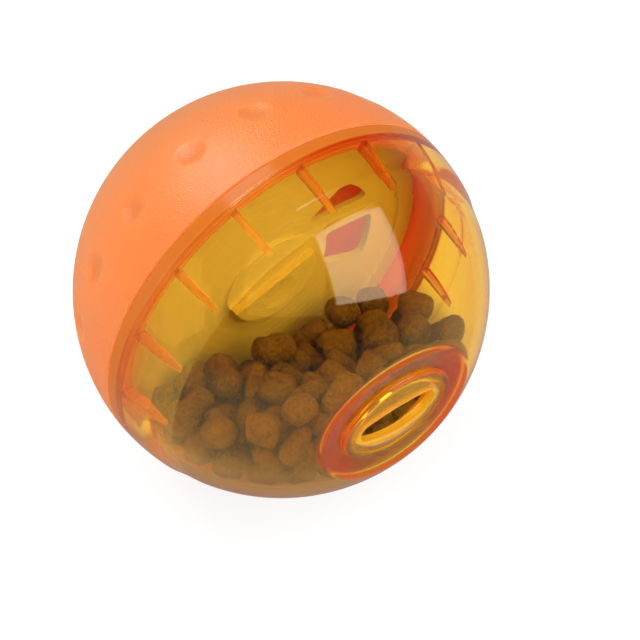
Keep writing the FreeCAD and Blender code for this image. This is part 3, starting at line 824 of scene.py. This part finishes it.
@dataclass
class ClearShell:
    """See-through half: belt, fins, thread, dished pole and dispensing slot."""

    radius: float = 51.0
    wall: float = 2.4
    belt_width: float = 13.2
    belt_step: float = 1.0                # width over which the belt ends
    shoulder_end: float = 20.7            # the sphere is cut straight up to here
    straight: tuple[float, ...] = (0.0, 0.03, 0.2, 0.4, 0.6, 0.8, 0.97, 1.0)   # rows on that cut
    straight_gap: float = 0.004           # radians to the sphere's first row
    near_pole: float = 27.0               # distance from the axis at which the pole begins
    bore: float = 48.45
    chamfer: float = 0.35
    fin_count: int = 16
    fin_thickness: float = 1.6
    fin_start: float = 3.8
    fin_top_radius: float = 46.1
    fin_end: float = 17.55
    fin_end_depth: float = 0.25
    fin_edge: float = 0.05                # width of the fins' first and last face
    fin_end_edge: float = 0.08
    fin_turn: float = -2.7
    flank: float = 0.05                   # degrees from a fin's flank to the columns beside it
    dish_half_length: float = 21.6
    dish_half_width: float = 19.3
    dish_depth: float = 5.8
    dish_blend: float = 0.22              # rounding where the dish meets the sphere
    backing_blend: float = 0.6
    bead: Oval = Oval(15.8, 12.9, 9.5)
    bead_top: float = 47.1
    bead_width: float = 2.1
    bead_round: float = 0.7
    bead_foot: float = 0.25
    # Rows past the bead's inner side, with the drop from its top or the lift from the floor
    bead_edge: tuple[Span, ...] = ((-0.3, 0.0), (-0.12, 0.03), (0.0, 0.15))
    groove_edge: tuple[Span, ...] = ((0.02, 0.08), (0.12, 0.0), (0.38, 0.0))
    groove_width: float = 0.5
    groove_depth: float = 0.6
    mound_top: float = 48.3
    mound_rise: float = 1.5
    slot: Oval = Oval(10.7, 4.7, 3.4)
    slot_round: float = 0.7
    thread: Thread = Thread()

    def __post_init__(self) -> None:
        """Work out the columns and the faces of the dish and the mound.

        The dish passes through the ball's surface at its half length and its
        half width.
        """
        floor = self.radius - self.dish_depth
        length_rise = math.sqrt(self.radius ** 2 - self.dish_half_length ** 2) - floor
        width_rise = math.sqrt(self.radius ** 2 - self.dish_half_width ** 2) - floor
        long_radius = arc_radius(self.dish_half_length, length_rise)
        half_length = math.sqrt(2 * long_radius * width_rise - width_rise ** 2)
        self.dish = Crown(half_length, self.dish_half_width, width_rise, floor, hollow=True)
        self.hole = self.bead.inset(self.bead_width + self.groove_width)
        self.mound = Crown(self.hole.half_length, self.hole.half_width,
                           self.mound_rise, self.mound_top)
        self.fin_half = math.degrees(math.atan(self.fin_thickness / 2 / self.fin_top_radius))
        self.angle = self.columns()

    def columns(self) -> Array:
        """Angles of the columns, with close pairs at each fin's two flanks.

        Returns:
            Angles in radians.
        """
        half, flank = self.fin_half, self.flank
        pitch = CIRCLE / self.fin_count
        fin = np.array([-half - flank, -half + flank, -half / 3, half / 3,
                        half - flank, half + flank])
        plain = np.linspace(half + flank, pitch - half - flank, num=20)[1:-1]
        one = np.concatenate([fin, plain])
        starts = np.arange(self.fin_count)[:, None] * pitch + self.fin_turn
        return np.radians((starts + one).ravel())

    def on_fin(self) -> Array:
        """True for the columns that lie on a fin."""
        offset = from_nearest(np.degrees(self.angle), self.fin_turn, self.fin_count)
        return np.abs(offset) < self.fin_half

    def outside(self) -> Rows:
        """Rows from the seam over the belt, the sphere and the dish to the bead.

        Between the belt and the shoulder's end the sphere is cut straight.

        Returns:
            Distances from the axis and heights along it.
        """
        rim = math.sqrt(BELT_RADIUS ** 2 - self.chamfer ** 2)
        belt = steps(self.chamfer, self.belt_width, count=8)
        start = math.asin((self.belt_width + self.belt_step) / self.radius)
        shoulder = math.asin(self.shoulder_end / self.radius)
        share = np.array(self.straight)[:, None]
        straight = [self.radius * (turn(start) + (turn(shoulder) - turn(start)) * share)
                    for turn in (math.cos, math.sin)]
        end = math.acos(self.near_pole / self.radius)
        lift = steps(shoulder + self.straight_gap, end, count=26)
        dish = between(self.near_pole, self.bead.reach(self.angle) + self.bead_foot, count=24)
        surface = ease_low(sphere_height(self.radius, dish),
                           self.dish.height(dish, self.angle), self.dish_blend)
        return [
            (self.bore + self.chamfer, 0.0),
            (rim - self.chamfer, 0.0),
            (np.sqrt(BELT_RADIUS ** 2 - belt ** 2), belt),
            (straight[0], straight[1]),
            (self.radius * np.cos(lift), self.radius * np.sin(lift)),
            (dish, surface),
        ]

    def bead_and_mound(self) -> Rows:
        """Rows over the bead and the groove, then over the mound to the slot.

        The edges of the bead and the slot are quarter circles: the distance
        goes with the turn's cosine or sine, and the height with the other.

        Returns:
            Distances from the axis and heights along it.
        """
        edge = self.bead.reach(self.angle)
        base = self.dish.height(edge, self.angle)
        rows = [(edge, base + self.bead_foot),
                (edge, (base + self.bead_top - self.bead_round) / 2)]
        floor = self.bead_top - self.groove_depth
        profile = [(self.bead_round * (1 - math.cos(turn)),
                    self.bead_top - self.bead_round * (1 - math.sin(turn)))
                   for turn in np.linspace(0.0, math.pi / 2, num=6)]
        profile += [(self.bead_width + by, self.bead_top - drop) for by, drop in self.bead_edge]
        profile += [(self.bead_width + by, floor + lift) for by, lift in self.groove_edge]
        rows += [(self.bead.inset(inset).reach(self.angle), height) for inset, height in profile]
        outline = self.hole.reach(self.angle)
        mouth = self.slot.inset(-self.slot_round).reach(self.angle)
        rows.append((outline, (self.mound.height(outline, self.angle) + floor) / 2))
        cap = between(outline, mouth, count=12)
        rows.append((cap, self.mound.height(cap, self.angle)))
        for turn in np.linspace(0.0, math.pi / 2, num=7)[1:]:
            across = self.slot.inset(-self.slot_round * (1 - math.sin(turn))).reach(self.angle)
            drop = self.slot_round * (1 - math.cos(turn))
            rows.append((across, self.mound.height(across, self.angle) - drop))
        return rows

    def underside(self) -> Rows:
        """Rows down the slot's throat, under the mound and under the dish.

        Returns:
            Distances from the axis and heights along it.
        """
        throat = self.slot.reach(self.angle)
        top = self.mound.height(throat, self.angle) - self.slot_round
        bottom = self.mound.height(throat, self.angle, -self.wall)
        hollow = self.hole.inset(self.wall / 2).reach(self.angle)
        under = between(throat, hollow, count=8)
        ceiling = self.mound.height(hollow, self.angle, -self.wall)
        backing = self.dish.height(hollow, self.angle, self.wall)
        spread = np.vstack([hollow, between(hollow, self.near_pole, count=22)])
        surface = ease_low(sphere_height(self.radius - self.wall, spread),
                           self.dish.height(spread, self.angle, self.wall), self.backing_blend)
        down = np.linspace(0.0, 1.0, num=5)[1:]
        return [(throat, top + (bottom - top) * share) for share in down] + [
            (under, self.mound.height(under, self.angle, -self.wall)),
            (hollow, (ceiling + backing) / 2),
            (spread, surface),
        ]

    def inside(self) -> Rows:
        """Rows over the inner sphere, along the fins and down the threaded bore.

        Returns:
            Distances from the axis and heights along it.
        """
        inner = self.radius - self.wall
        start = math.acos(self.near_pole / inner)
        end = math.asin((self.fin_end + self.fin_end_edge) / inner)
        lift = steps(start, end, count=26)[1:]
        fins = steps(self.fin_end, self.fin_start, count=14)
        free_end = math.sqrt(inner ** 2 - self.fin_end ** 2) - self.fin_end_depth
        share = (fins - self.fin_start) / (self.fin_end - self.fin_start)
        free = self.fin_top_radius + (free_end - self.fin_top_radius) * share
        bore = steps(self.fin_start - self.fin_edge, self.chamfer, count=36)
        ridges = self.thread.relief(self.angle, bore, on_neck=False)
        return [
            (inner * np.cos(lift), inner * np.sin(lift)),
            (np.where(self.on_fin(), free, sphere_height(inner, fins)), fins),
            (self.bore - ridges, bore),
        ]

    def build(self, finish: AmberFinish) -> bpy.types.Object:
        """Make the shell and let it stand for the CAD node.

        Args:
            finish: what it wears.

        Returns:
            The shell.
        """
        rows = self.outside() + self.bead_and_mound() + self.underside() + self.inside()
        across, along = stacked(rows, len(self.angle))
        piece = ring_mesh("clear_shell", placed(across, self.angle, along))
        dress(piece, finish.material(self))
        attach(piece, Body.CLEAR.value)
        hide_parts("clear_half")
        return piece


@dataclass
class OpaqueShell:
    """Orange half: dimpled bowl, threaded neck, snap nibs and the disc's shoulder."""

    radius: float = 51.3048
    centre: float = 0.7                   # of its sphere, above the seam
    columns: int = 480
    crown_rows: tuple[float, float, int] = (89.0, 27.0, 48)     # from, to and how many rows
    dimple_rows: tuple[float, float, int] = (26.3, 13.5, 22)    # in degrees, as the others
    rim_rows: tuple[float, int] = (12.5, 10)                    # from there to the rim
    seam_gap: float = 0.15
    chamfer: float = 0.35
    crown_wall: float = 2.5
    neck_height: float = 3.3
    neck_outer: float = 47.2
    neck_bore: float = 45.4
    cavity: float = 44.0
    cavity_end: float = 88.5              # last row, in degrees
    seat: float = -7.2
    plain_bore: tuple[float, ...] = (1.0, -1.5, -6.0)           # two rows above the nibs, one below
    nib_bottom: float = -3.95
    nib_height: float = 0.9
    nib_reach: float = 0.75
    nib_edge: float = 0.06
    nib_span: float = 9.0
    nib_turn: float = 45.0
    nib_count: int = 4
    dimple_count: int = 16
    dimple_radius: float = 4.5
    dimple_depth: float = 1.0
    dimple_latitude: float = 20.0
    dimple_turn: float = -5.4
    dimple_soft: float = 0.12
    thread: Thread = Thread()

    def dimpled(self, latitude: Array, angle: Array) -> Array:
        """Radius of the outer surface from its sphere's centre.

        A dimple is the near face of a small sphere. On a ray at some angle
        from the dimple's middle, that face lies at the centre distance times
        the cosine, less the root of the small radius squared less the centre
        distance times the sine, squared. The smaller of it and the bowl is
        taken, with a soft rim.

        Args:
            latitude: angles behind the seam, in radians, as a column.
            angle: angles round the axis, in radians.

        Returns:
            The radii in rows and columns.
        """
        small = arc_radius(self.dimple_radius, self.dimple_depth)
        reach = self.radius - self.dimple_depth + small
        offset = from_nearest(angle, math.radians(self.dimple_turn), self.dimple_count, 2 * math.pi)
        middle = math.radians(self.dimple_latitude)
        cosine = (np.cos(latitude) * math.cos(middle) * np.cos(offset)
                  + np.sin(latitude) * math.sin(middle))
        under = small ** 2 - reach ** 2 * (1 - cosine ** 2)
        near = reach * cosine - np.sqrt(np.maximum(under, 0.0))
        near = np.where(under > 0, near, self.radius + self.dimple_depth)
        return ease_low(near, np.full_like(near, self.radius), self.dimple_soft)

    def outside(self, angle: Array) -> Rows:
        """Rows from the crown to the seam, closer together over the dimples.

        Args:
            angle: angles of the columns.

        Returns:
            Distances from the axis and heights along it.
        """
        rim = math.degrees(math.asin((self.seam_gap + self.chamfer + self.centre) / self.radius))
        runs = (self.crown_rows, self.dimple_rows, (self.rim_rows[0], rim, self.rim_rows[1]))
        latitude = np.radians(np.concatenate([np.linspace(*run) for run in runs]))[:, None]
        radius = self.dimpled(latitude, angle)
        return [(radius * np.cos(latitude), self.centre - radius * np.sin(latitude))]

    def neck(self, angle: Array) -> Rows:
        """Rows from the seam over the threaded neck and down its bore to the shoulder.

        Args:
            angle: angles of the columns.

        Returns:
            Distances from the axis and heights along it.
        """
        edge = math.sqrt(self.radius ** 2 - (self.seam_gap + self.chamfer + self.centre) ** 2)
        outer = steps(-self.seam_gap, self.neck_height - self.chamfer, count=32)
        ridges = self.thread.relief(angle, outer, on_neck=True)
        top = self.nib_bottom + self.nib_height
        bore = np.array([
            self.neck_height - self.chamfer, *self.plain_bore[:2], top + self.nib_edge, top,
            self.nib_bottom, self.nib_bottom - self.nib_edge, self.plain_bore[2],
            self.seat])[:, None]
        offset = from_nearest(np.degrees(angle), self.nib_turn, self.nib_count)
        on_nib = (np.abs(offset) <= self.nib_span / 2) & (bore <= top) & (bore >= self.nib_bottom)
        return [
            (edge - self.chamfer, -self.seam_gap),
            (self.neck_outer + ridges, outer),
            (self.neck_outer - self.chamfer, self.neck_height),
            (self.neck_bore + self.chamfer, self.neck_height),
            (self.neck_bore - self.nib_reach * on_nib, bore),
        ]

    def inside(self, crown: float) -> Rows:
        """Rows over the cavity from the shoulder towards its crown.

        Args:
            crown: height of the cavity's deepest point.

        Returns:
            Distances from the axis and heights along it.
        """
        radius = arc_radius(self.cavity, self.seat - crown)
        middle = crown + radius
        start = math.asin((middle - self.seat) / radius)
        latitude = steps(start, math.radians(self.cavity_end), count=44)
        return [(radius * np.cos(latitude), middle - radius * np.sin(latitude))]

    def build(self, finish: OrangeFinish) -> bpy.types.Object:
        """Make the shell and let it stand for the CAD node.

        Args:
            finish: what it wears.

        Returns:
            The shell.
        """
        angle = np.linspace(0.0, 2 * math.pi, self.columns, endpoint=False)
        crown = self.centre - self.radius
        rows = self.outside(angle) + self.neck(angle) + self.inside(crown + self.crown_wall)
        across, along = stacked(rows, self.columns)
        ends = placed(np.zeros(2), np.zeros(2), np.array([crown, crown + self.crown_wall]))
        piece = ring_mesh("orange_shell", placed(across, angle, along), ends)
        dress(piece, finish.material())
        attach(piece, Body.OPAQUE.value)
        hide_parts("opaque_half")
        return piece


@dataclass
class Divider:
    """Yellow disc, dial and shutter, which keep their CAD shapes."""

    disc: YellowFinish = YellowFinish()
    adjuster: YellowFinish = YellowFinish("yellow_dial", colour=(0.93, 0.78, 0.36),
                                          shade=(0.88, 0.70, 0.28), gloss=0.28)

    def build(self) -> list[bpy.types.Object]:
        """Dress the three nodes.

        Returns:
            The nodes.
        """
        disc, adjuster = self.disc.material(), self.adjuster.material()
        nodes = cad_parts
        return [dress(nodes["divider_disc"], disc), dress(nodes["dial"], adjuster),
                dress(nodes["shutter"], adjuster)]


@dataclass
class KibbleHeap:
    """Kibble inside the clear half: each pellet is rounded on the solid it stands for."""

    seed: int = 11
    columns: int = 14
    rows: int = 9
    pole_gap: float = 0.12                # radians from a pellet's tip to its first row
    fill: float = 1.02                    # size against the solid's own half sizes
    square: Span = (0.50, 0.72)
    slender: float = 0.88                 # width of the long pellets against their solids
    long_from: float = 1.35               # length over width from which a pellet is long
    waves: tuple[float, ...] = (0.4, 0.7, 1.2)    # radians in a millimetre
    wave_share: float = 0.05
    grid: float = 0.002                   # millimetres within which corners are one

    def corners(self) -> tuple[Array, Array]:
        """Corners of the CAD node's triangles and the number of the solid each is on.

        Corners at one place are one point. A point takes the lowest number in
        its triangles, over and over, until the points of a solid share one.

        Returns:
            The points in metres and the solids' numbers.
        """
        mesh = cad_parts["kibble"].data
        places = np.empty(len(mesh.vertices) * 3)
        mesh.vertices.foreach_get("co", places)
        loops = np.empty(len(mesh.loops), dtype=np.int32)
        mesh.loops.foreach_get("vertex_index", loops)
        cells = np.round(places.reshape(-1, 3) / (self.grid * MM)).astype(np.int64)
        points, number = np.unique(cells, axis=0, return_inverse=True)
        triangles = number.ravel()[loops].reshape(-1, 3)
        label, last = np.arange(len(points)), None
        while last is None or (label != last).any():
            last = label.copy()
            lowest = label[triangles].min(axis=1)
            np.minimum.at(label, triangles.ravel(), np.repeat(lowest, 3))
        owner = np.unique(label, return_inverse=True)[1].ravel()
        return points * self.grid * MM, owner

    def sticks(self) -> tuple[Array, Array, Array]:
        """Middle, directions and half sizes of each solid.

        The directions are those along which the solid's corners spread least
        and most, and a half size is the farthest corner along one.

        Returns:
            The middles, the directions as columns, and the half sizes.
        """
        points, owner = self.corners()
        count = owner.max() + 1
        share = np.bincount(owner)[:, None]
        middle = np.zeros((count, 3))
        np.add.at(middle, owner, points)
        middle /= share
        off = points - middle[owner]
        spread = np.zeros((count, 3, 3))
        np.add.at(spread, owner, off[:, :, None] * off[:, None, :])
        directions = np.linalg.eigh(spread)[1]
        directions[:, :, 0] *= np.sign(np.linalg.det(directions))[:, None]
        along = np.abs(np.einsum("ni,nij->nj", off, directions[owner]))
        half = np.zeros((count, 3))
        np.maximum.at(half, owner, along)
        return middle, directions, half

    def pellets(self) -> Array:
        """Points of every pellet.

        A pellet is a rounded box: its half length times a power of the polar
        angle's cosine, and its half widths times the same power of the sine,
        turned about the long direction. Waves in random directions swell and
        sink it a little.

        Returns:
            Pellets by rows by columns by three.
        """
        random = np.random.default_rng(self.seed)
        middle, directions, half = self.sticks()
        count = len(middle)
        is_long = half[:, 2] > self.long_from * half[:, :2].mean(axis=1)
        half[is_long, :2] *= self.slender
        polar = np.linspace(self.pole_gap, math.pi - self.pole_gap, self.rows)[None, :, None]
        turn = np.linspace(0.0, 2 * math.pi, self.columns, endpoint=False)[None, None, :]
        power = random.uniform(*self.square, (count, 1, 1))
        ring = np.sin(polar) ** power
        height = np.sign(np.cos(polar)) * np.abs(np.cos(polar)) ** power
        local = np.stack(np.broadcast_arrays(
            ring * np.cos(turn), ring * np.sin(turn), height), axis=-1)
        local = local * half[:, None, None, :] * self.fill
        swell = np.zeros(local.shape[:3])
        for wave in self.waves:
            way = random.normal(size=(count, 3))
            way *= wave / MM / np.linalg.norm(way, axis=1)[:, None]
            phase = random.uniform(0, 2 * math.pi, (count, 1, 1))
            swell += np.sin(np.einsum("nrck,nk->nrc", local, way) + phase)
        local = local * (1 + swell * self.wave_share - self.wave_share)[..., None]
        return np.einsum("nrck,njk->nrcj", local, directions) + middle[:, None, None, :]

    def build(self, finish: KibbleFinish) -> bpy.types.Object:
        """Make all pellets as one piece, which stands for the CAD node.

        Args:
            finish: what the pellets wear.

        Returns:
            The piece.
        """
        points = self.pellets()
        size = self.rows * self.columns
        index = np.arange(size).reshape(self.rows, self.columns)
        following = np.roll(index, -1, axis=1)
        quads = np.stack([index[:-1], index[1:], following[1:], following[:-1]], axis=-1)
        base = np.arange(len(points))[:, None] * size
        faces = (quads.reshape(1, -1, 4) + base[..., None]).reshape(-1, 4).tolist()
        for cap in (index[0], index[-1][::-1]):
            faces += (cap + base).tolist()
        mesh = bpy.data.meshes.new("kibble_pellets")
        mesh.from_pydata(points.reshape(-1, 3), [], faces)
        mesh.shade_smooth()
        piece = linked("kibble_pellets", mesh)
        dress(piece, finish.material())
        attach(piece, Body.CLEAR.value)
        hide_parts("kibble")
        return piece


# Studio


@dataclass(frozen=True)
class Softbox:
    """Rectangular area lamp that faces the ball."""

    name: str
    towards: tuple[float, float, float]   # right, up and back of the camera
    distance: float                       # metres, as are its width and height
    width: float
    height: float
    power: float
    roll: float = 0.0                     # degrees about its own middle
    mirrored: bool = True                 # seen in polished surfaces

    def build(self, right: Vector, up: Vector, back: Vector) -> None:
        """Place the lamp by the camera's own directions.

        Args:
            right: the camera's right.
            up: its up.
            back: away from what it looks at.
        """
        way = (right * self.towards[0] + up * self.towards[1] + back * self.towards[2]).normalized()
        across = up.cross(way).normalized()
        axes = Matrix((across, way.cross(across), way)).transposed().to_4x4()
        lamp = bpy.data.lights.new(self.name, "AREA")
        lamp.shape = "RECTANGLE"
        lamp.size = self.width
        lamp.size_y = self.height
        lamp.energy = self.power
        holder = linked(self.name, lamp)
        holder.matrix_world = (Matrix.Translation(BALL_CENTRE + way * self.distance) @ axes
                               @ Matrix.Rotation(math.radians(self.roll), 4, "Z"))
        holder.visible_glossy = self.mirrored


@dataclass
class Studio:
    """Camera, lamps, floor and world."""

    azimuth: float = -36.05
    elevation: float = 52.34
    distance: float = 0.816
    nearest: float = 0.01                 # metres from which the camera sees
    focal_pixels: float = 3334.27
    frame_pixels: float = 640.0
    centre_pixel: Span = (281.07, 289.4)
    sensor: float = 36.0
    softboxes: tuple[Softbox, ...] = (
        Softbox("right_softbox", (0.70, 0.27, 0.66), distance=1.2, width=0.96, height=0.92,
                power=8.0, roll=10.0),
        Softbox("top_softbox", (-0.42, 0.86, 0.25), distance=1.2, width=0.9, height=0.6,
                power=8.6),
        Softbox("left_fill", (-0.90, -0.05, 0.45), distance=1.3, width=0.9, height=0.9,
                power=7.0, mirrored=False),
        Softbox("front_fill", (0.04, 0.12, 1.0), distance=1.5, width=1.2, height=1.2,
                power=9.0, mirrored=False),
    )
    floor_half: float = 3.0
    floor_glow: float = 0.80
    floor_pale: float = 0.80              # for the rays that light the ball
    floor_shaded: float = 0.22            # for the rays that reach the camera
    floor_mirrored: float = 0.12          # share of the glow that mirrored rays meet
    floor_through: float = 0.97           # share of the glow that rays through the ball meet
    # Painted shadow under the ball, in the glow that rays through the ball meet
    painted_shadow_share: float = 0.15              # share of that where the ball touches the floor
    painted_shadow_reach: Span = (50.0, 62.0)      # millimetres from there, shaded to lit
    world_level: float = 0.50
    horizon: float = 0.30                 # of the backdrop, in mirrored rays
    ceiling: float = 0.06                 # of the room above, in mirrored rays
    ceiling_from: float = 0.30            # upward part of a ray's direction that meets it

    def directions(self) -> tuple[Vector, Vector, Vector]:
        """Right, up and back of the camera, in the row frame.

        Returns:
            The three directions.
        """
        turn, lift = math.radians(self.azimuth), math.radians(self.elevation)
        back = Vector((math.sin(turn) * math.cos(lift), -math.cos(turn) * math.cos(lift),
                       math.sin(lift)))
        right = Vector((math.cos(turn), math.sin(turn), 0.0))
        return right, back.cross(right), back

    def camera(self) -> None:
        """Camera on the photograph's view, its axis through the ball's centre."""
        right, up, back = self.directions()
        data = bpy.data.cameras.new("camera")
        data.sensor_width = self.sensor
        data.lens = self.sensor * self.focal_pixels / self.frame_pixels
        middle = self.frame_pixels / 2
        data.shift_x = (middle - self.centre_pixel[0]) / self.frame_pixels
        data.shift_y = (self.centre_pixel[1] - middle) / self.frame_pixels
        data.clip_start = self.nearest
        holder = linked("camera", data)
        holder.matrix_world = Matrix.Translation(BALL_CENTRE + back * self.distance) @ Matrix(
            (right, up, back)).transposed().to_4x4()
        bpy.context.scene.camera = holder

    def lamps(self) -> None:
        """Soft lamps: a broad one at the right, one above and behind, and two fills."""
        for softbox in self.softboxes:
            softbox.build(*self.directions())

    def floor(self) -> None:
        """Pale floor that glows to white for the rays that reach the camera.

        Mirrored rays meet a darker floor. Rays through the ball meet nearly
        all of the glow, with a painted shadow that takes most of it under the ball.
        """
        size = self.floor_half
        mesh = bpy.data.meshes.new("floor")
        mesh.from_pydata([(-size, -size, 0), (size, -size, 0), (size, size, 0), (-size, size, 0)],
                         [], [(0, 1, 2, 3)])
        material, board = new_board("pale_floor")
        seen = self.seen(board)
        shade = board.mix(seen, (self.floor_pale,) * 3, (self.floor_shaded,) * 3)
        pale = board.node("ShaderNodeBsdfDiffuse", None, {"Color": shade})
        through = board.ray("Is Transmission Ray")
        mirrored = board.ray("Is Glossy Ray") * (1.0 - through)
        # Painted shadow: less of the through glow near where the ball touches the floor
        x, along, _ = board.along_axis()
        out_of_painted_shadow = board.rise(board.length(x, along), self.painted_shadow_reach)
        through_with_painted_shadow = (out_of_painted_shadow * (1.0 - self.painted_shadow_share) + self.painted_shadow_share) * self.floor_through
        share = 1.0 - mirrored * (1.0 - self.floor_mirrored) + through * (through_with_painted_shadow - 1.0)
        glow = board.node("ShaderNodeEmission", None, {"Strength": seen * share * self.floor_glow})
        board.output(board.node("ShaderNodeAddShader", None, {0: pale, 1: glow}))
        floor = dress(linked("floor", mesh), material)

    @staticmethod
    def seen(board: Board) -> Wire:
        """One for camera, glossy and transmission rays, and zero for the rest."""
        rays = [board.ray("Is %s Ray" % kind) for kind in ("Camera", "Glossy", "Transmission")]
        return rays[0].highest(rays[1]).highest(rays[2])

    def world(self) -> None:
        """White where it is seen or mirrored, and a plain soft light elsewhere.

        In mirrored rays the room darkens from the backdrop at the horizon to
        the ceiling.
        """
        world = bpy.data.worlds.new("studio")
        bpy.context.scene.world = world
        board = Board(world)
        way = board.node("ShaderNodeTexCoord", output="Generated")
        height = board.node("ShaderNodeSeparateXYZ", None, {0: way}, output="Z")
        upwards = board.node("ShaderNodeMapRange", None, {
            "Value": height, "From Min": 0.0, "From Max": self.ceiling_from,
            "To Min": 1.0 - self.horizon, "To Max": 1.0 - self.ceiling})
        white = 1.0 - board.ray("Is Glossy Ray") * upwards
        seen = self.seen(board)
        strength = seen * white + (1.0 - seen) * self.world_level
        light = board.node("ShaderNodeBackground", None, {"Color": WHITE, "Strength": strength})
        board.output(light, kind="ShaderNodeOutputWorld")

    def build(self) -> None:
        """Make the whole studio."""
        bpy.context.scene.view_settings.view_transform = "Standard"
        self.camera()
        self.lamps()
        self.floor()
        self.world()


def report(*pieces: bpy.types.Object) -> None:
    """Log each finished piece and its face count."""
    for piece in pieces:
        LOG.info("%s: %d faces", piece.name, len(piece.data.polygons))


def main() -> None:
    """Build the studio and every piece in order."""
    logging.basicConfig(level=logging.INFO)
    Studio().build()
    report(OpaqueShell().build(OrangeFinish()))
    report(*Divider().build())
    report(KibbleHeap().build(KibbleFinish()))
    report(ClearShell().build(AmberFinish()))


if __name__ == "__main__":
    main()
